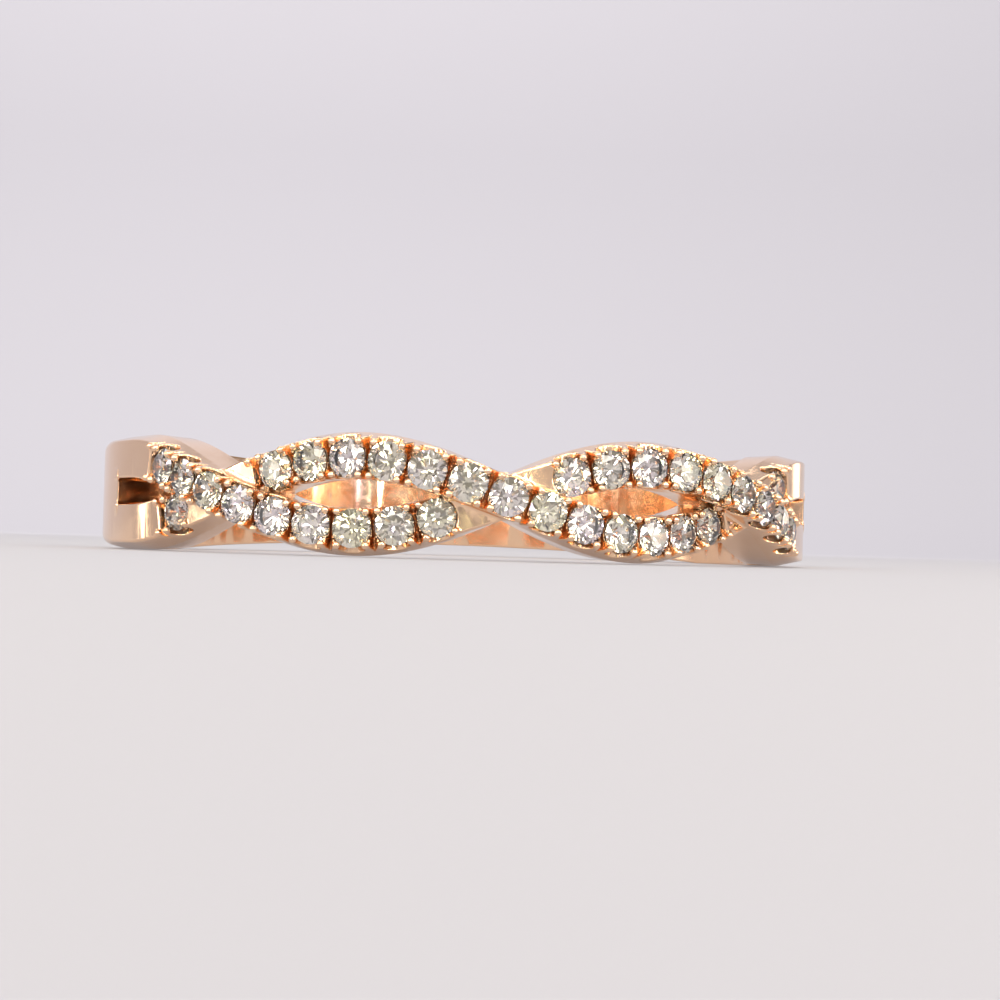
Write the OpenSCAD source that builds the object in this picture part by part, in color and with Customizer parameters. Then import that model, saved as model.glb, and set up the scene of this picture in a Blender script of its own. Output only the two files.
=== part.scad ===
// Two-strand infinity ring with shared-prong pave stones on its front half.
// The hoop axis is Z, the origin is the centre of the finger hole, and the
// middle crossing of the strands faces -Y. Lengths are in millimetres.

/* [Finger hole and band] */
// Diameter of the finger hole
finger_d = 17.3; // [14.5:0.1:21.5]
// Thickness of the band from the finger hole to the neutral outer surface
band_t = 1.6; // [1.4:0.05:2]
// Angle round the hoop from one crossing of the strands to the next
cross_pitch = 45; // [43:0.5:47]

/* [Strands] */
// Width of a strand across its set top
strand_w = 1.04; // [1.02:0.01:1.12]
// Distance of a strand's centre line from the middle of the band at its widest
sway = 0.88; // [0.8:0.01:1]
// Rise of the upper strand, and drop of the lower strand, at a crossing
lift = 0.32; // [0.26:0.01:0.36]
// How far the outer side of a strand spreads below its set top
flare = 0.17; // [0.06:0.01:0.2]
// Depth of the spreading side below the top
flank_h = 0.72; // [0.62:0.01:0.95]
// Inward taper of each side from there to the finger hole
taper = 0.05; // [0.02:0.01:0.1]
// Bevel along the top edges of a strand
edge_bevel = 0.04; // [0.02:0.01:0.06]

/* [Shank] */
// Angle from the middle crossing at which both strands run into the shank
merge_angle = 73; // [71:0.5:76]
// How far the shank stands proud of the strands all round
shank_step = 0.03; // [0.02:0.01:0.06]
// Bevel along the outer edges of the shank
shank_bevel = 0.2; // [0.1:0.01:0.3]
// Width of the shank at its back, opposite the middle crossing
shank_back_w = 2.3; // [2:0.05:2.8]
// Distance behind the middle of the finger hole at which the shank starts to narrow
narrow_from = 3; // [2.5:0.1:5]

/* [Stones] */
// Diameter of a stone across its girdle
stone_d = 1; // [0.9:0.01:1]
// Distance along a strand from one stone to the next
stone_pitch = 1.085; // [1.08:0.005:1.1]
// Stones past an outer crossing on the strand that is uppermost there
outer_stones = 2; // [1:1:2]
// Least distance along the lower strand from a crossing to its next stone
under_gap = 1.79; // [1.75:0.01:2]
// Height of the table above the girdle
crown_h = 0.16; // [0.12:0.01:0.17]
// Thickness of the girdle
girdle_h = 0.03; // [0.02:0.005:0.04]
// Depth from the girdle to the culet
pavilion_h = 0.43; // [0.38:0.01:0.44]
// Width of the table across its corners
table_d = 0.57; // [0.5:0.01:0.6]
// How much further each stone is turned about its own axis than the one before it
stone_turn = 17; // [0:1:44]

/* [Setting] */
// Depth of the girdle's upper edge below the top of the strand
girdle_depth = 0.1; // [0.08:0.01:0.12]
// Clearance all round a stone
stone_gap = 0.02; // [0.015:0.005:0.03]
// Diameter of the light hole under each stone
light_hole_d = 0.44; // [0.3:0.02:0.5]
// Diameter of the prong beads
bead_d = 0.2; // [0.16:0.01:0.2]
// Distance of a bead from the middle of its stone, along the strand
bead_along = 0.37; // [0.36:0.005:0.38]
// Distance of a bead from the middle of its stone, across the strand
bead_across = 0.425; // [0.42:0.005:0.44]
// Width of the slot that opens the side of the strand under each stone
slot_w = 0.68; // [0.6:0.01:0.78]
// Depth of that slot below the top of the strand
slot_h = 0.48; // [0.44:0.01:0.6]
// Width of the groove that parts the prongs of neighbouring stones
groove_w = 0.2; // [0.14:0.01:0.22]
// Depth of that groove below the top of the strand
groove_h = 0.34; // [0.2:0.01:0.36]

/* [Hidden] */
finger_r = finger_d / 2;
band_r = finger_r + band_t;
half_w = strand_w / 2;
peak_angle = 1.5 * cross_pitch;
turn = 180 / cross_pitch;
degree = PI / 180;

// How far the sweeps reach into what the finger hole then removes
overcut = 0.25;
// How far the strands' ends lie inside the shank, in degrees
end_lap = 1.5;
strand_end = merge_angle + end_lap;
stations = 68;

// The strand that is uppermost at the middle crossing is "over", the other "under"
OVER = -1;
UNDER = 1;

function unit(v) = v / norm(v);
function ease(x) = let (c = min(1, max(0, x))) c * c * (3 - 2 * c);

// Place of a strand's centre line at angle t from the middle crossing
function sway_at(t, side) = side * sway * sin(turn * min(peak_angle, max(-peak_angle, t)));
function fade_at(t) = 1 - ease((abs(t) - cross_pitch) / (merge_angle - cross_pitch));
function radius_at(t, side) = band_r - side * lift * cos(turn * t) * fade_at(t);
function point_at(t, side) =
    let (r = radius_at(t, side)) [r * sin(t), -r * cos(t), sway_at(t, side)];

// Direction of a strand, its outward normal and the direction across it
nudge = 0.05;
function along_at(t, side) = unit(point_at(t + nudge, side) - point_at(t - nudge, side));
function normal_at(t, side) =
    let (a = along_at(t, side), out = [sin(t), -cos(t), 0]) unit(out - (out * a) * a);
function across_at(t, side) = cross(normal_at(t, side), along_at(t, side));

// Angle that lies a distance d along the strand from angle t
function speed_at(t, side) =
    norm(point_at(t + nudge, side) - point_at(t - nudge, side)) / (2 * nudge);
function step_from(t, d, side) =
    let (half = t + d / 2 / speed_at(t, side)) t + d / speed_at(half, side);
function steps_from(t, d, side, n) = n == 0 ? t : steps_from(step_from(t, d, side), d, side, n - 1);

// Length of a strand from one crossing to the next, added up over short chords
chords = 90;
run_length = [for (i = [0:chords - 1])
    norm(point_at((i + 1) * cross_pitch / chords, OVER) - point_at(i * cross_pitch / chords, OVER))]
    * [for (i = [1:chords]) 1];

// Stones between the middle one of a run and the place where the other strand
// covers this one, as many as fit
inner_stones = floor((run_length - under_gap) / stone_pitch);

// Angles of the stones. Each run is centred on a crossing where its strand is
// uppermost, and the other strand has its next stone under_gap past a crossing.
over_run = [for (i = [-inner_stones:inner_stones])
    (i < 0 ? -1 : 1) * steps_from(0, stone_pitch, OVER, abs(i))];
over_end = steps_from(cross_pitch, under_gap / 2, OVER, 2);
over_angles = concat([-over_end], over_run, [over_end]);
under_half = [for (i = [-inner_stones:outer_stones])
    steps_from(cross_pitch, (i < 0 ? -1 : 1) * stone_pitch, UNDER, abs(i))];
under_angles = concat([for (i = [len(under_half) - 1:-1:0]) -under_half[i]], under_half);

// Each stone has [angle, side]
stone_places = concat([for (t = under_angles) [t, UNDER]], [for (t = over_angles) [t, OVER]]);

// Angles of the grooves, halfway between neighbouring stones of one run
function grooves_in(run) = [for (i = [0:len(run) - 2]) (run[i] + run[i + 1]) / 2];
over_grooves = grooves_in(over_run);
under_grooves = concat(grooves_in(under_half), [for (t = grooves_in(under_half)) -t]);

// Angles of the grooves that end a setting, half a pitch past the last stone of a run
over_tips = [for (t = [over_run[len(over_run) - 1], over_end]) step_from(t, stone_pitch / 2, OVER)];
under_tips = [step_from(under_half[len(under_half) - 1], stone_pitch / 2, UNDER)];

// Puts its children on a strand, with X along it, Y across it and Z outward
module on_strand(t, side) {
    a = along_at(t, side);
    b = across_at(t, side);
    c = normal_at(t, side);
    p = point_at(t, side);
    multmatrix([
        [a.x, b.x, c.x, p.x],
        [a.y, b.y, c.y, p.y],
        [a.z, b.z, c.z, p.z],
        [0, 0, 0, 1]
    ]) children();
}

// Section of a strand as [across, height], going round
function section_at(t, side) =
    let (
        lean = sway_at(t, side) / sway,
        up = half_w + flare * max(0, lean),
        down = half_w + flare * max(0, -lean),
        floor_h = finger_r - overcut - radius_at(t, side)
    ) [
        [half_w - edge_bevel, 0], [half_w, -edge_bevel],
        [up, -flank_h], [up - taper, floor_h],
        [taper - down, floor_h], [-down, -flank_h],
        [-half_w, -edge_bevel], [edge_bevel - half_w, 0]
    ];

// A strand without its setting
module strand_blank(side) {
    rings = [for (i = [0:stations])
        let (t = strand_end * (2 * i / stations - 1),
            p = point_at(t, side), b = across_at(t, side), c = normal_at(t, side))
        [for (s = section_at(t, side)) p + s[0] * b + s[1] * c]];
    n = len(rings[0]);
    points = [for (r = rings) each r];
    sides = [for (i = [0:stations - 1], j = [0:n - 1])
        let (a = i * n + j, b = i * n + (j + 1) % n)
        each [[a, b, b + n], [a, b + n, a + n]]];
    first = [for (j = [n - 1:-1:0]) j];
    last = [for (j = [0:n - 1]) stations * n + j];
    polyhedron(points, concat([first], sides, [last]), convexity = 10);
}

// The space a stone is lowered into, with its light hole
module seat() {
    r = stone_d / 2 + stone_gap;
    hole_r = light_hole_d / 2;
    ledge = -girdle_depth - girdle_h - stone_gap;
    rotate_extrude($fn = 24)
        polygon([
            [0, -2 * band_t], [hole_r, -2 * band_t], [hole_r, ledge - r + hole_r],
            [r, ledge], [r, bead_d], [0, bead_d]
        ]);
}

// The slot across the strand under a stone, round at its bottom
module slot() {
    r = slot_w / 2;
    reach = strand_w + 4 * flare;
    rotate([90, 0, 0])
        linear_extrude(reach, center = true)
            union() {
                translate([-r, r - slot_h]) square([slot_w, slot_h]);
                translate([0, r - slot_h]) circle(r, $fn = 24);
            }
}

// The groove across the strand between two stones
module groove() {
    rise = bead_d / 2;
    wide = groove_w / 2 * (1 + rise / groove_h);
    rotate([90, 0, 0])
        linear_extrude(strand_w + 4 * flare, center = true)
            polygon([[0, -groove_h], [wide, rise], [-wide, rise]]);
}

// Two prong beads, one near each edge of the strand, at a distance x along it
module bead_pair(x) {
    for (y = [-1, 1])
        translate([x, y * bead_across, 0])
            sphere(bead_d / 2, $fn = 16);
}

// A strand with its setting. The tips, given for one half of the strand, are grooves with one more
// pair of beads past them.
module strand(side, angles, grooves, tips) {
    past_tip = stone_pitch / 2 - bead_along;
    difference() {
        strand_blank(side);
        for (t = angles) on_strand(t, side) seat();
        for (t = angles) on_strand(t, side) slot();
        for (t = concat(grooves, tips, -tips)) on_strand(t, side) groove();
    }
    for (t = angles, x = [-1, 1]) on_strand(t, side) bead_pair(x * bead_along);
    for (t = tips, x = [-1, 1]) on_strand(x * t, side) bead_pair(x * past_tip);
}

// The plain back of the band, from one end of the strands round to the other
module shank() {
    top_r = band_r + shank_step;
    top_w = sway + half_w + shank_step;
    foot_w = top_w + flare;
    foot_r = finger_r - overcut;
    difference() {
        rotate([0, 0, merge_angle - 90])
            rotate_extrude(angle = 360 - 2 * merge_angle, $fn = 96)
                polygon([
                    [foot_r, taper - foot_w], [top_r - flank_h, -foot_w],
                    [top_r - shank_bevel, -top_w], [top_r, shank_bevel - top_w],
                    [top_r, top_w - shank_bevel], [top_r - shank_bevel, top_w],
                    [top_r - flank_h, foot_w], [foot_r, foot_w - taper]
                ]);
        for (up = [0, 1])
            mirror([0, 0, up])
                rotate([90, 0, 90])
                    linear_extrude(3 * band_r, center = true)
                        polygon([
                            [narrow_from, foot_w], [top_r, shank_back_w / 2],
                            [2 * top_r, shank_back_w / 2], [2 * top_r, 2 * foot_w],
                            [narrow_from, 2 * foot_w]
                        ]);
    }
}

// The whole metal body, one cast piece
module band() {
    color("#d9a184")
        difference() {
            union() {
                strand(OVER, over_angles, over_grooves, over_tips);
                strand(UNDER, under_angles, under_grooves, under_tips);
                shank();
            }
            cylinder(h = 4 * (sway + strand_w), r = finger_r, center = true, $fn = 128);
        }
}

// A round brilliant, with its girdle's upper edge at girdle_depth below the strand's top
module stone() {
    r = stone_d / 2;
    girdle_top = -girdle_depth;
    girdle_low = girdle_top - girdle_h;
    table_r = table_d / 2;
    star_r = table_r + 0.45 * (r - table_r);
    star_z = girdle_top + crown_h * 0.66;
    lower_r = 0.24 * r;
    lower_z = girdle_low - pavilion_h * 0.76;
    table = [for (k = [0:7]) [table_r * cos(45 * k), table_r * sin(45 * k), girdle_top + crown_h]];
    star = [for (k = [0:7]) [star_r * cos(45 * k + 22.5), star_r * sin(45 * k + 22.5), star_z]];
    upper = [for (k = [0:15]) [r * cos(22.5 * k), r * sin(22.5 * k), girdle_top]];
    lower = [for (k = [0:15]) [r * cos(22.5 * k), r * sin(22.5 * k), girdle_low]];
    pavilion = [for (k = [0:7]) [lower_r * cos(45 * k + 22.5), lower_r * sin(45 * k + 22.5), lower_z]];
    culet = [[0, 0, girdle_low - pavilion_h]];
    S = 8;
    U = 16;
    L = 32;
    P = 48;
    C = 56;
    faces = concat(
        [[for (k = [7:-1:0]) k]],
        [for (k = [0:7]) [k, (k + 1) % 8, S + k]],
        [for (k = [0:7]) let (e = U + (2 * k) % 16)
            each [[k, S + k, e], [k, e, S + (k + 7) % 8]]],
        [for (k = [0:7]) let (e = U + 2 * k, m = U + 2 * k + 1, f = U + (2 * k + 2) % 16)
            each [[S + k, m, e], [S + k, f, m]]],
        [for (k = [0:15]) let (j = (k + 1) % 16)
            each [[U + k, U + j, L + j], [U + k, L + j, L + k]]],
        [for (k = [0:7]) let (e = L + 2 * k, m = L + 2 * k + 1, f = L + (2 * k + 2) % 16)
            each [[P + k, e, m], [P + k, m, f]]],
        [for (k = [0:7]) let (e = L + (2 * k) % 16, q = P + (k + 7) % 8)
            each [[P + k, C, e], [e, C, q]]]
    );
    color("#eeeae6")
        polyhedron(concat(table, star, upper, lower, pavilion, culet), faces, convexity = 4);
}

module stone_node(i) {
    on_strand(stone_places[i][0], stone_places[i][1]) rotate([0, 0, i * stone_turn]) stone();
}

band();
for (i = [0:len(stone_places) - 1])
    stone_node(i);
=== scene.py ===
"""Infinity ring of polished rose gold with shared-prong pave stones.

The part's solids give the sizes. The band is made here again as one finely meshed surface,
with rounded edges and small fillets as on a cast and polished ring, and the stones keep their solids.
"""

import math

import bpy
import numpy as np
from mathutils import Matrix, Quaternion, Vector


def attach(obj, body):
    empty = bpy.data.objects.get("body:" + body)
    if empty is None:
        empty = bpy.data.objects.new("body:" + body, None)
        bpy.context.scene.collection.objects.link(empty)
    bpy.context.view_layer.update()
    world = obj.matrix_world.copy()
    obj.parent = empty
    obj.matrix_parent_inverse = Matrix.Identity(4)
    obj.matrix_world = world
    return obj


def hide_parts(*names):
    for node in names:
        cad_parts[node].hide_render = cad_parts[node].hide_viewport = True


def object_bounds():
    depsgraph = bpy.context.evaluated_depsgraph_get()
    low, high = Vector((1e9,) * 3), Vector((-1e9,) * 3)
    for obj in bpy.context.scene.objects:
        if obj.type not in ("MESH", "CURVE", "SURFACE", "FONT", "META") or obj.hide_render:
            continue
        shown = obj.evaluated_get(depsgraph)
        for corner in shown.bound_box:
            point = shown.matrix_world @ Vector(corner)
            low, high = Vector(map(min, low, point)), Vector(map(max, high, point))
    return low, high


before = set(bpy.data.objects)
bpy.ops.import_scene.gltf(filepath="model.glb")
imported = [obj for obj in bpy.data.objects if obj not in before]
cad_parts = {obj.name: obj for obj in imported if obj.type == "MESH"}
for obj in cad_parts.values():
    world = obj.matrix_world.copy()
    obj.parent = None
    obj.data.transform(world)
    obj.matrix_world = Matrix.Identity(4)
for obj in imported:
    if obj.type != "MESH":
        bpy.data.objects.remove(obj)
cad_low, cad_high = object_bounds()

# Sizes of the part in millimetres and degrees, as its source names them
FINGER_D = 17.3
BAND_T = 1.6
CROSS_PITCH = 45
STRAND_W = 1.04
SWAY = 0.88
LIFT = 0.32
FLARE = 0.17
FLANK_H = 0.72
TAPER = 0.05
MERGE_ANGLE = 73
SHANK_STEP = 0.03
SHANK_BEVEL = 0.2
SHANK_BACK_W = 2.3
NARROW_FROM = 3
STONE_D = 1
STONE_PITCH = 1.085
OUTER_STONES = 2
UNDER_GAP = 1.79
GIRDLE_H = 0.03
GIRDLE_DEPTH = 0.1
STONE_GAP = 0.02
LIGHT_HOLE_D = 0.44
BEAD_D = 0.2
BEAD_ALONG = 0.37
BEAD_ACROSS = 0.425
SLOT_W = 0.68
SLOT_H = 0.48
GROOVE_W = 0.2
GROOVE_H = 0.34
END_LAP = 1.5

FINGER_R = FINGER_D / 2
BAND_R = FINGER_R + BAND_T
CROSS = math.radians(CROSS_PITCH)
MERGE = math.radians(MERGE_ANGLE)
STRAND_END = math.radians(MERGE_ANGLE + END_LAP)
TURN = math.pi / CROSS
NUDGE = math.radians(0.05)
OVER = -1
UNDER = 1
MM = 0.001

# Radii with which edges and inner corners of the metal are rounded. The shank's takes off about
# as much as its bevel, and the least one stands for none
EDGE_ROUND = 0.06
CUT_ROUND = 0.035
BEAD_FILLET = 0.03
JOIN_FILLET = 0.1
SHANK_ROUND = 1.5 * SHANK_BEVEL
LEAST_FILLET = 0.001

# Half the gap between the strands where they run into the shank, and the angle over which the
# shank grows to its full size there
GAP_HALF = SWAY - STRAND_W / 2
GROWTH = math.radians(14)

# Grid for the mesh of the metal: fine steps in degrees over the front, steps that grow and shrink
# again round the back, and cells in millimetres across the band. Then the mesh's triangles, and
# the least slope of the field that is reckoned with when a point is moved onto the surface
FINE_STEP = 0.2
COARSE_STEP = 1.5
FINE_MARGIN = 3
STEP_GROWTH = 1.15
STEP_SHARE = 0.13
CELL = 0.035
METAL_FACES = 190000
LEAST_SLOPE = 0.5


def ease(x):
    x = np.clip(x, 0, 1)
    return x * x * (3 - 2 * x)


def unit(v):
    return v / np.linalg.norm(v, axis=-1, keepdims=True)


def point_at(t, side):
    """Centre line of a strand at angle t from the middle crossing."""
    sway = side * SWAY * np.sin(TURN * np.clip(t, -1.5 * CROSS, 1.5 * CROSS))
    fade = 1 - ease((np.abs(t) - CROSS) / (MERGE - CROSS))
    r = BAND_R - side * LIFT * np.cos(TURN * t) * fade
    return np.stack([r * np.sin(t), -r * np.cos(t), sway], -1)


def frame_at(t, side):
    """Place, direction along, direction across and outward normal of a strand."""
    t = np.asarray(t, float)
    place = point_at(t, side)
    along = unit(point_at(t + NUDGE, side) - point_at(t - NUDGE, side))
    out = np.stack([np.sin(t), -np.cos(t), 0 * t], -1)
    normal = unit(out - (out * along).sum(-1, keepdims=True) * along)
    return place, along, np.cross(normal, along), normal


def steps_from(t, distance, side, count):
    """Angle that lies count steps of a distance along the strand from angle t."""
    def speed(a):
        return np.linalg.norm(point_at(a + NUDGE, side) - point_at(a - NUDGE, side)) / (2 * NUDGE)

    for _ in range(count):
        t = t + distance / speed(t + distance / 2 / speed(t))
    return t


def setting_angles():
    """For each strand the angles of its stones, of the grooves between them and of its end grooves."""
    chord_ends = point_at(np.linspace(0, CROSS, 91), OVER)
    run_length = np.linalg.norm(np.diff(chord_ends, axis=0), axis=1).sum()
    inner = math.floor((run_length - UNDER_GAP) / STONE_PITCH)
    over = [math.copysign(1, i) * steps_from(0, STONE_PITCH, OVER, abs(i)) for i in range(-inner, inner + 1)]
    over_end = steps_from(CROSS, UNDER_GAP / 2, OVER, 2)
    under = [
        steps_from(CROSS, math.copysign(STONE_PITCH, i), UNDER, abs(i))
        for i in range(-inner, OUTER_STONES + 1)
    ]

    def halfway(run):
        return [(a + b) / 2 for a, b in zip(run, run[1:])]

    over_tips = [steps_from(a, STONE_PITCH / 2, OVER, 1) for a in (over[-1], over_end)]
    under_tip = steps_from(under[-1], STONE_PITCH / 2, UNDER, 1)
    return {
        OVER: ([-over_end] + over + [over_end], halfway(over), [-a for a in over_tips] + over_tips),
        UNDER: (
            [-a for a in under] + under,
            halfway(under) + [-a for a in halfway(under)],
            [-under_tip, under_tip],
        ),
    }


def smooth_min(a, b, k):
    h = np.maximum(k - np.abs(a - b), 0)
    return np.minimum(a, b) - h * h / (4 * k)


def smooth_max(a, b, k):
    h = np.maximum(k - np.abs(a - b), 0)
    return np.maximum(a, b) + h * h / (4 * k)


def dot(a, b):
    return np.einsum("ij,ij->i", a, b)


def polar(q):
    """Points in single precision, with their distances from the hole's axis and their angles."""
    q = q.astype(np.float32)
    return q, np.hypot(q[:, 0], q[:, 1]), np.arctan2(q[:, 0], -q[:, 1])


class Strand:
    """Signed distance, in millimetres, to one strand with its setting.

    The strand's frames are kept at stations along its centre line. Each station also knows its
    nearest stone, its nearest groove and its nearest end groove.
    """

    STATIONS = 2600

    def __init__(self, side, stones, grooves, tips):
        t = np.linspace(-STRAND_END, STRAND_END, self.STATIONS)
        place, along, across, normal = frame_at(t, side)
        self.start = t[0]
        self.pace = t[1] - t[0]
        self.stride = np.float32(np.linalg.norm(np.diff(place, axis=0), axis=1).mean())
        self.axes = [v.astype(np.float32) for v in (place, along, across, normal)]
        self.lean = (place[:, 2] / SWAY).astype(np.float32)
        self.sets = {}
        for name, angles in (("stones", stones), ("grooves", grooves + tips), ("tips", tips)):
            angles = np.sort(np.array(angles))
            own = [v.astype(np.float32) for v in frame_at(angles, side)]
            nearest = np.abs(t[:, None] - angles[None]).argmin(1)
            self.sets[name] = (own, nearest)

    def station(self, q, t):
        """Station, with a fraction, whose plane holds each point."""
        place, along = self.axes[:2]
        i = (t - self.start) / self.pace
        for _ in range(3):
            j = self.whole(i)
            i = j + dot(q - place[j], along[j]) / self.stride
        return i

    def whole(self, i):
        """The nearest station that there is."""
        return np.clip(np.rint(i), 0, self.STATIONS - 1).astype(np.int32)

    def seen_from(self, which, j, q):
        """Coordinates of each point in the frame of its nearest stone or groove."""
        (place, along, across, normal), nearest = self.sets[which]
        k = nearest[j]
        d = q - place[k]
        return dot(d, along[k]), dot(d, across[k]), dot(d, normal[k])

    def uncut(self, q, i):
        """Distance to the plain strand, without its setting."""
        last = self.STATIONS - 1
        low = np.clip(i, 0, last - 1).astype(np.int32)
        share = (np.clip(i, 0, last) - low).astype(np.float32)
        place, _, across, normal = (v[low] + share[:, None] * (v[low + 1] - v[low]) for v in self.axes)
        lean = self.lean[low] + share * (self.lean[low + 1] - self.lean[low])
        d = q - place
        past = np.where(i < 0, -i * self.stride, np.where(i > last, (i - last) * self.stride, -BAND_T))
        y = dot(d, across)
        z = dot(d, normal)
        flare = FLARE * np.maximum(0, np.where(y > 0, lean, -lean))
        half = STRAND_W / 2 + flare * np.clip(-z / FLANK_H, 0, 1)
        half = half - TAPER * np.clip((-z - FLANK_H) / (BAND_T - FLANK_H), 0, 1)
        return np.maximum(smooth_max(np.abs(y) - half, z, EDGE_ROUND), past)

    def distance(self, q, t):
        i = self.station(q, t)
        j = self.whole(i)
        body = self.uncut(q, i)
        x, y, z = self.seen_from("stones", j, q)
        body = smooth_max(body, -seat_distance(x, y, z), CUT_ROUND)
        body = smooth_max(body, -slot_distance(x, z), CUT_ROUND)
        bead = bead_distance(x, y, z, BEAD_ALONG)

        x, y, z = self.seen_from("grooves", j, q)
        body = smooth_max(body, -groove_distance(x, z), CUT_ROUND)

        x, y, z = self.seen_from("tips", j, q)
        bead = np.minimum(bead, bead_distance(x, y, z, STONE_PITCH / 2 - BEAD_ALONG))
        return smooth_min(body, bead, BEAD_FILLET)


def seat_distance(x, y, z):
    """The hollow for one stone: a cylinder above a cone, and the light hole through its tip."""
    rho = np.hypot(x, y)
    r = STONE_D / 2 + STONE_GAP
    ledge = -GIRDLE_DEPTH - GIRDLE_H - STONE_GAP
    cup = np.maximum(rho - r, (rho - r - (z - ledge)) * math.sqrt(0.5))
    return np.minimum(cup, rho - LIGHT_HOLE_D / 2)


def slot_distance(x, z):
    """The slot across the strand under one stone, open at the top and round at the bottom."""
    r = SLOT_W / 2
    below = z - (r - SLOT_H)
    return np.where(below > 0, np.abs(x), np.hypot(x, below)) - r


def groove_distance(x, z):
    """The V groove across the strand, between two stones or at the end of a run."""
    slope = GROOVE_W / 2 / GROOVE_H
    return (np.abs(x) - slope * (z + GROOVE_H)) / math.hypot(1, slope)


def bead_distance(x, y, z, along):
    """The four prong beads that lie so far along and across from a stone or an end groove."""
    return np.sqrt((np.abs(x) - along) ** 2 + (np.abs(y) - BEAD_ACROSS) ** 2 + z * z) - BEAD_D / 2


def shank_distance(q, r, t):
    """The plain back. Where the strands run into it, it starts flush with them and as sharp-edged."""
    grown = ease((np.abs(t) - MERGE) / GROWTH)
    top_r = BAND_R + SHANK_STEP * grown
    top_w = SWAY + STRAND_W / 2 + SHANK_STEP * grown
    foot_w = SWAY + STRAND_W / 2 + SHANK_STEP + FLARE
    narrowing = (foot_w - SHANK_BACK_W / 2) / (BAND_R + SHANK_STEP - NARROW_FROM)
    limit = foot_w - narrowing * np.clip(q[:, 1] - NARROW_FROM, 0, None)
    half = np.minimum(top_w + FLARE * np.clip((top_r - r) / FLANK_H, 0, 1), limit)
    edge = EDGE_ROUND + (SHANK_ROUND - EDGE_ROUND) * grown
    section = smooth_max(np.abs(q[:, 2]) - half, r - top_r, edge)
    return np.maximum(section, (MERGE - np.abs(t)) * r)


class Metal:
    """Signed distance, in millimetres, to the whole cast body."""

    def __init__(self):
        angles = setting_angles()
        self.strands = [Strand(side, *angles[side]) for side in (OVER, UNDER)]

    def distance(self, q):
        q, r, t = polar(q)
        over, under = (s.distance(q, t) for s in self.strands)
        d = smooth_min(over, under, JOIN_FILLET)
        between = 1 - ease((np.abs(q[:, 2]) - GAP_HALF) / GAP_HALF)
        d = smooth_min(d, shank_distance(q, r, t), LEAST_FILLET + JOIN_FILLET * between)
        return smooth_max(d, FINGER_R - r, EDGE_ROUND)

    def depth(self, q):
        """How deep each point lies in the seats, slots and grooves, in millimetres."""
        q, r, t = polar(q)
        hull = shank_distance(q, r, t)
        for strand in self.strands:
            hull = np.minimum(hull, strand.uncut(q, strand.station(q, t)))
        return np.maximum(0, -np.maximum(hull, FINGER_R - r))

    def slope(self, q, h=0.004):
        """Distance and its gradient at each point."""
        grad = np.empty_like(q)
        for axis in range(3):
            step = np.zeros(3)
            step[axis] = h
            grad[:, axis] = (self.distance(q + step) - self.distance(q - step)) / (2 * h)
        return self.distance(q), grad

    def settle(self, q):
        """Points moved onto the surface, and the gradients where they were."""
        d, grad = self.slope(q)
        squared = np.maximum((grad ** 2).sum(1), LEAST_SLOPE ** 2)
        return q - np.clip(d, -CELL, CELL)[:, None] * grad / squared[:, None], grad


def hoop_grid():
    """Coordinates of the grid round the hoop: angle, radius and height."""
    reach = MERGE_ANGLE + FINE_MARGIN
    front = np.arange(-reach, reach + FINE_STEP / 2, FINE_STEP)
    back = [reach]
    step = FINE_STEP
    while back[-1] + step < 360 - reach:
        left = 360 - reach - back[-1]
        step = min(COARSE_STEP, step * STEP_GROWTH, max(FINE_STEP, left * STEP_SHARE))
        back.append(back[-1] + step)
    t = np.radians(np.concatenate([front, back[1:-1]]))
    r = np.arange(FINGER_R - 3 * CELL, BAND_R + LIFT + BEAD_D, CELL)
    top = SWAY + STRAND_W / 2 + FLARE + 4 * CELL
    z = np.arange(-top, top, CELL)
    return t, r, z


def grid_distance(metal, t, r, z, slab=24):
    """Distance at every grid point, worked out a few angles at a time."""
    field = np.empty((len(t), len(r), len(z)), np.float32)
    rr, zz = (v.ravel() for v in np.meshgrid(r, z, indexing="ij"))
    for i in range(0, len(t), slab):
        some = t[i:i + slab]
        tt = np.repeat(some, rr.size)
        ra = np.tile(rr, len(some))
        q = np.stack([ra * np.sin(tt), -ra * np.cos(tt), np.tile(zz, len(some))], -1)
        field[i:i + slab] = metal.distance(q).reshape(len(some), len(r), len(z))
    return field


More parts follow.
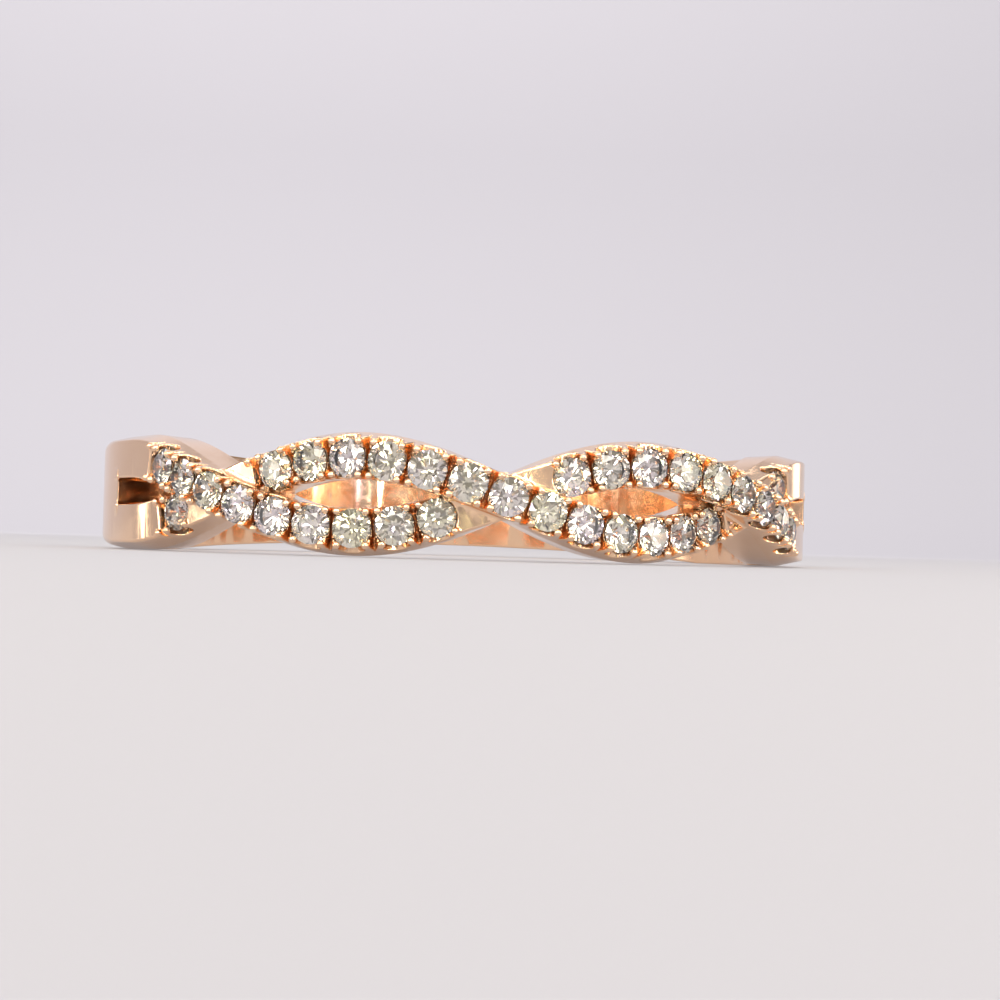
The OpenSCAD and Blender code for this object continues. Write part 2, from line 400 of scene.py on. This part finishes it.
def surface_net(field, t, r, z):
    """Vertices and quads of the zero surface. The grid closes on itself in its first direction."""
    nt, nr, nz = field.shape
    nxt = np.roll(np.arange(nt), -1)
    turned = np.append(t, t[0] + 2 * math.pi)
    corners = [
        (field if a == 0 else field[nxt])[:, b:nr - 1 + b, c:nz - 1 + c]
        for a in (0, 1) for b in (0, 1) for c in (0, 1)
    ]
    count = sum((v < 0).astype(np.int8) for v in corners)
    active = (count > 0) & (count < 8)
    ids = np.full(active.shape, -1, np.int64)
    ids[active] = np.arange(active.sum())
    ci, cj, ck = np.nonzero(active)
    values = [v[active] for v in corners]
    total = np.zeros((len(ci), 3))
    hits = np.zeros(len(ci))
    for u in range(8):
        for bit in (4, 2, 1):
            v = u | bit
            if v == u:
                continue
            crosses = (values[u] < 0) != (values[v] < 0)
            share = np.where(crosses, values[u] / np.where(crosses, values[u] - values[v], 1), 0)
            start = np.array([(u >> 2) & 1, (u >> 1) & 1, u & 1], float)
            end = np.array([(v >> 2) & 1, (v >> 1) & 1, v & 1], float)
            total += crosses[:, None] * (start + (end - start) * share[:, None])
            hits += crosses
    local = total / hits[:, None]
    tt = turned[ci] + (turned[ci + 1] - turned[ci]) * local[:, 0]
    rr = r[cj] + (r[cj + 1] - r[cj]) * local[:, 1]
    zz = z[ck] + (z[ck + 1] - z[ck]) * local[:, 2]
    points = np.stack([rr * np.sin(tt), -rr * np.cos(tt), zz], -1)

    inside = field < 0
    quads = []

    def add(i, j, k, ring):
        quad = np.stack(ring, -1)
        quads.append(np.where(inside[i, j, k][:, None], quad[:, ::-1], quad))

    i, j, k = np.nonzero(inside[:, 1:-1, 1:-1] != inside[nxt][:, 1:-1, 1:-1])
    j, k = j + 1, k + 1
    add(i, j, k, [ids[i, j - 1, k - 1], ids[i, j, k - 1], ids[i, j, k], ids[i, j - 1, k]])
    i, j, k = np.nonzero(inside[:, :-1, 1:-1] != inside[:, 1:, 1:-1])
    k, p = k + 1, (i - 1) % nt
    add(i, j, k, [ids[p, j, k - 1], ids[p, j, k], ids[i, j, k], ids[i, j, k - 1]])
    i, j, k = np.nonzero(inside[:, 1:-1, :-1] != inside[:, 1:-1, 1:])
    j, p = j + 1, (i - 1) % nt
    add(i, j, k, [ids[p, j - 1, k], ids[i, j - 1, k], ids[i, j, k], ids[p, j, k]])
    return points, np.concatenate(quads)


def mesh_from(name, points, faces):
    sides = faces.shape[1]
    mesh = bpy.data.meshes.new(name)
    mesh.vertices.add(len(points))
    mesh.vertices.foreach_set("co", np.ascontiguousarray(points, np.float32).ravel())
    mesh.loops.add(faces.size)
    mesh.loops.foreach_set("vertex_index", np.ascontiguousarray(faces, np.int32).ravel())
    mesh.polygons.add(len(faces))
    mesh.polygons.foreach_set("loop_start", np.arange(0, faces.size, sides, dtype=np.int32))
    mesh.update(calc_edges=True)
    mesh.validate()
    return mesh


def vertex_places(mesh):
    flat = np.empty(len(mesh.vertices) * 3, np.float32)
    mesh.vertices.foreach_get("co", flat)
    return flat.reshape(-1, 3).astype(float)


def make_metal():
    """The cast body: meshed from its distance field, thinned out, then set back onto the field."""
    metal = Metal()
    grid = hoop_grid()
    points, quads = surface_net(grid_distance(metal, *grid), *grid)
    dense = mesh_from("dense_metal", metal.settle(points)[0], quads)
    obj = bpy.data.objects.new("metal", dense)
    bpy.context.scene.collection.objects.link(obj)
    thin = obj.modifiers.new("thin", "DECIMATE")
    thin.ratio = METAL_FACES / (2 * len(quads))
    graph = bpy.context.evaluated_depsgraph_get()
    mesh = bpy.data.meshes.new_from_object(obj.evaluated_get(graph))
    obj.modifiers.clear()
    obj.data = mesh
    bpy.data.meshes.remove(dense)
    mesh.name = "metal"

    places, grad = metal.settle(vertex_places(mesh))
    mesh.vertices.foreach_set("co", (places * MM).astype(np.float32).ravel())
    mesh.polygons.foreach_set("use_smooth", np.ones(len(mesh.polygons), bool))
    mesh.update()
    mesh.normals_split_custom_set_from_vertices(unit(grad).tolist())
    # Depth in the setting, from which the material paints shade into the recesses
    mesh.attributes.new("depth", "FLOAT", "POINT").data.foreach_set("value", metal.depth(places))
    return obj


def new_material(name):
    mat = bpy.data.materials.new(name)
    mat.use_nodes = True
    nodes = mat.node_tree.nodes
    shader = next(n for n in nodes if n.type == "BSDF_PRINCIPLED")
    return mat, mat.node_tree, shader


def add_node(tree, kind, inputs=None, **settings):
    node = tree.nodes.new(kind)
    for key, value in settings.items():
        setattr(node, key, value)
    for key, value in (inputs or {}).items():
        if isinstance(value, bpy.types.NodeSocket):
            tree.links.new(value, node.inputs[key])
        else:
            node.inputs[key].default_value = value
    return node


# Sockets of a mix node that take its two colours, and the one that gives the mixed colour
FIRST_COLOUR = 6
SECOND_COLOUR = 7
MIXED_COLOUR = 2

# Colours of the metal, and the depths in millimetres between which painted shade darkens it
GOLD = (0.92, 0.615, 0.40, 1)
GOLD_PALE = (0.96, 0.68, 0.465, 1)
GOLD_PAINTED_SHADE = (0.42, 0.24, 0.14, 1)
PAINTED_SHADE_FROM = 0.03
PAINTED_SHADE_TO = 0.2
PAINTED_SHADE_MOST = 0.6


def rose_gold():
    """Polished rose gold: faintly cloudy, finely rubbed, and darker deep in the setting, where shade is
    painted into its colour.
    """
    mat, tree, shader = new_material("polished_rose_gold")
    place = add_node(tree, "ShaderNodeTexCoord").outputs["Object"]
    cloud = add_node(tree, "ShaderNodeTexNoise", {"Vector": place, "Scale": 900.0, "Detail": 3.0})
    tint = add_node(tree, "ShaderNodeMix", {"Factor": cloud.outputs["Fac"]}, data_type="RGBA")
    tint.inputs[FIRST_COLOUR].default_value = GOLD
    tint.inputs[SECOND_COLOUR].default_value = GOLD_PALE
    # Painted shade: the colour darkens towards a dark brown with depth in the seats, slots and grooves
    depth = add_node(tree, "ShaderNodeAttribute", attribute_name="depth")
    shade = add_node(tree, "ShaderNodeMapRange", {
        "Value": depth.outputs["Fac"],
        "From Min": PAINTED_SHADE_FROM, "From Max": PAINTED_SHADE_TO, "To Min": 0.0, "To Max": PAINTED_SHADE_MOST,
    })
    shaded_colour = add_node(tree, "ShaderNodeMix", {"Factor": shade.outputs["Result"]}, data_type="RGBA")
    tree.links.new(tint.outputs[MIXED_COLOUR], shaded_colour.inputs[FIRST_COLOUR])
    shaded_colour.inputs[SECOND_COLOUR].default_value = GOLD_PAINTED_SHADE
    tree.links.new(shaded_colour.outputs[MIXED_COLOUR], shader.inputs["Base Color"])
    rub = add_node(tree, "ShaderNodeTexNoise", {"Vector": place, "Scale": 5200.0, "Detail": 4.0})
    gloss = add_node(tree, "ShaderNodeMapRange", {
        "Value": rub.outputs["Fac"], "From Min": 0.3, "From Max": 0.7, "To Min": 0.08, "To Max": 0.16,
    })
    tree.links.new(gloss.outputs["Result"], shader.inputs["Roughness"])
    relief = add_node(tree, "ShaderNodeBump", {
        "Height": rub.outputs["Fac"], "Strength": 0.06, "Distance": 0.00001,
    })
    tree.links.new(relief.outputs["Normal"], shader.inputs["Normal"])
    shader.inputs["Metallic"].default_value = 1.0
    return mat


def cut_stone():
    """Clear stone with a slight cloud of tints, as small melee stones have."""
    mat, tree, shader = new_material("cut_stone")
    place = add_node(tree, "ShaderNodeTexCoord").outputs["Object"]
    cloud = add_node(tree, "ShaderNodeTexNoise", {"Vector": place, "Scale": 1400.0, "Detail": 1.0})
    ramp = add_node(tree, "ShaderNodeValToRGB", {"Fac": cloud.outputs["Fac"]})
    stops = ramp.color_ramp.elements
    stops[0].position = 0.38
    stops[0].color = (0.98, 0.88, 0.90, 1)
    stops[1].position = 0.62
    stops[1].color = (1.0, 0.95, 0.68, 1)
    stops.new(0.5).color = (1.0, 0.96, 0.88, 1)
    tree.links.new(ramp.outputs["Color"], shader.inputs["Base Color"])
    shader.inputs["Transmission Weight"].default_value = 1.0
    shader.inputs["IOR"].default_value = 2.35
    shader.inputs["Roughness"].default_value = 0.0
    return mat


def matt_white():
    """Pale board lit a little from behind, so that the shadow under the ring stays soft."""
    mat, tree, shader = new_material("matt_white")
    shader.inputs["Base Color"].default_value = (0.285, 0.279, 0.318, 1)
    shader.inputs["Roughness"].default_value = 0.9
    shader.inputs["Emission Color"].default_value = (1, 0.96, 1, 1)
    shader.inputs["Emission Strength"].default_value = 0.22
    mat.cycles.emission_sampling = "NONE"
    return mat


# Floor, in metres and degrees: radius of its flat part, radius of the bend round that and the share
# of the rim's height that the bend takes, heights of the rim and of the backdrop above it, and half
# the backdrop's width with the stretch at its ends over which it comes down
FLAT_R = 0.62
BEND_R = 0.16
BEND_SHARE = 0.9
RIM_H = 0.045
BACKDROP_H = 0.9
BACKDROP_HALF = 65
BACKDROP_SIDE = 30


def make_floor(level):
    """Round pale floor with a low curved rim that rises to a backdrop behind the ring."""
    around, rounds = 180, 16
    points = [(0, 0, level)]
    for i in range(around):
        turn = 2 * math.pi * i / around
        from_back = abs(math.degrees(turn) - 180)
        rise = RIM_H + BACKDROP_H * float(ease((BACKDROP_HALF - from_back) / BACKDROP_SIDE))
        steepest = math.acos(max(0, 1 - BEND_SHARE * rise / BEND_R))
        for k in range(rounds + 1):
            a = steepest * k / rounds
            reach = FLAT_R + BEND_R * math.sin(a)
            height = level + BEND_R * (1 - math.cos(a))
            points.append((reach * math.sin(turn), -reach * math.cos(turn), height))
        points.append((reach * math.sin(turn), -reach * math.cos(turn), level + rise))
    row = rounds + 2
    faces = []
    for i in range(around):
        here, there = 1 + i * row, 1 + (i + 1) % around * row
        faces.append((0, here, there))
        faces += [(here + k, here + k + 1, there + k + 1, there + k) for k in range(row - 1)]
    mesh = bpy.data.meshes.new("floor")
    mesh.from_pydata(points, [], faces)
    for face in mesh.polygons:
        face.use_smooth = True
    floor = bpy.data.objects.new("floor", mesh)
    bpy.context.scene.collection.objects.link(floor)
    floor.data.materials.append(matt_white())


WARM = (1, 0.93, 0.78)
WASH_SIZE = (0.45, 0.24)

# Small lights over the front half of the sky: their size and distance, the elevation and count of
# each row, and their radiance and colour by turns
SPARK_SIZE = (0.021, 0.021)
SPARK_DISTANCE = 0.32
SPARK_ROWS = ((7, 16), (18, 15), (30, 14), (43, 11), (57, 8))
SPARKS = (
    (27.0, (1, 0.98, 0.92)),
    (15.0, (1, 0.88, 0.5)),
    (34.0, (1, 0.95, 0.74)),
    (13.0, (0.84, 0.74, 1)),
    (11.0, (0.84, 1, 0.7)),
)


def softbox(name, place, size, radiance, colour=(1, 1, 1), aim=(0, 0, 0)):
    """Area light whose face has a given radiance. It faces the ring unless it is aimed elsewhere."""
    light = bpy.data.lights.new(name, "AREA")
    light.shape = "RECTANGLE"
    light.size, light.size_y = size
    light.energy = radiance * math.pi * size[0] * size[1]
    light.color = colour
    obj = bpy.data.objects.new(name, light)
    bpy.context.scene.collection.objects.link(obj)
    obj.location = place
    obj.rotation_euler = (Vector(aim) - Vector(place)).to_track_quat("-Z", "Y").to_euler()


def on_sky(azimuth, elevation, distance):
    """Place seen from the ring at an azimuth from the front, to the right, and an elevation."""
    a, e = math.radians(azimuth), math.radians(elevation)
    return [distance * v for v in (math.sin(a) * math.cos(e), -math.cos(a) * math.cos(e), math.sin(e))]


def make_lights():
    softbox("overhead", (0, 0.06, 0.3), (0.3, 0.16), 0.9)
    softbox("front_top", on_sky(-4, 46, 0.36), (0.3, 0.13), 3.2, (1, 0.95, 0.84))
    softbox("left_card", on_sky(-78, 12, 0.45), (0.16, 0.2), 2.2, WARM)
    softbox("right_card", on_sky(66, 8, 0.42), (0.2, 0.14), 2.6, WARM)
    softbox("left_back_bright", on_sky(-117, 9, 0.45), (0.06, 0.2), 3.0, WARM)
    softbox("right_back", on_sky(132, 9, 0.45), (0.1, 0.2), 1.8, WARM)
    softbox("wall_wash", (0, 0.42, 0.45), WASH_SIZE, 10.0, (1, 0.97, 0.91), (0, 0.7, 0.08))
    for side in (-1, 1):
        out = Vector(on_sky(105 * side, 0, 1))
        high = 0.42 * out + Vector((0, 0, 0.45))
        low = 0.74 * out + Vector((0, 0, 0.06))
        softbox(f"side_wash_{side}", high, WASH_SIZE, 3.5, aim=low)
    for row, (rise, count) in enumerate(SPARK_ROWS):
        for i in range(count):
            turn = -90 + 180 * (i + 0.25 + 0.5 * (row % 2)) / count
            radiance, colour = SPARKS[(3 * i + 2 * row) % len(SPARKS)]
            softbox(f"spark_{row}_{i}", on_sky(turn, rise, SPARK_DISTANCE), SPARK_SIZE, radiance, colour)


def make_world():
    world = bpy.data.worlds.new("studio")
    world.use_nodes = True
    back = next(n for n in world.node_tree.nodes if n.type == "BACKGROUND")
    back.inputs["Color"].default_value = (0.92, 0.84, 0.76, 1)
    back.inputs["Strength"].default_value = 0.34
    bpy.context.scene.world = world


# The photo's view in degrees: the ring seen from in front, a little to the left of its middle
# crossing and below the middle of the band. Its distance is in millimetres, and the ring's half
# width and centre are in pixels of the photo
VIEW_TURN = 7.43
VIEW_RISE = -1.1
VIEW_ROLL = 1.61
VIEW_DISTANCE = 6 * BAND_R
RING_HALF_PX = 349.5
RING_X_PX = 454.2
RING_Y_PX = 503.6
FRAME_PX = 1000


def make_camera():
    """Camera on the photo's line of sight, aimed so that the ring's centre falls on its pixel."""
    focal_px = RING_HALF_PX * math.sqrt((VIEW_DISTANCE / BAND_R) ** 2 - 1)
    data = bpy.data.cameras.new("camera")
    data.sensor_fit = "HORIZONTAL"
    data.sensor_width = 36
    data.lens = focal_px / FRAME_PX * data.sensor_width
    data.clip_start = 0.001
    data.clip_end = 10
    camera = bpy.data.objects.new("camera", data)
    bpy.context.scene.collection.objects.link(camera)
    turn, rise = math.radians(-VIEW_TURN), math.radians(VIEW_RISE)
    sight = Vector((math.sin(turn) * math.cos(rise), -math.cos(turn) * math.cos(rise), math.sin(rise)))
    camera.location = sight * VIEW_DISTANCE * MM
    roll = math.radians(VIEW_ROLL)
    level = (-sight).to_track_quat("-Z", "Y")
    camera.rotation_mode = "QUATERNION"
    camera.rotation_quaternion = level @ Quaternion((0, 0, 1), roll)
    data.shift_x = (FRAME_PX / 2 - RING_X_PX) / FRAME_PX
    data.shift_y = (RING_Y_PX - FRAME_PX / 2) / FRAME_PX
    bpy.context.scene.camera = camera


metal = make_metal()
metal.data.materials.append(rose_gold())
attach(metal, "root")
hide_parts("band")

stone_look = cut_stone()
for name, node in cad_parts.items():
    if name.startswith("stone_"):
        node.data.materials.clear()
        node.data.materials.append(stone_look)

make_floor(cad_low.z)
make_lights()
make_world()
make_camera()
bpy.context.scene.view_settings.view_transform = "Standard"
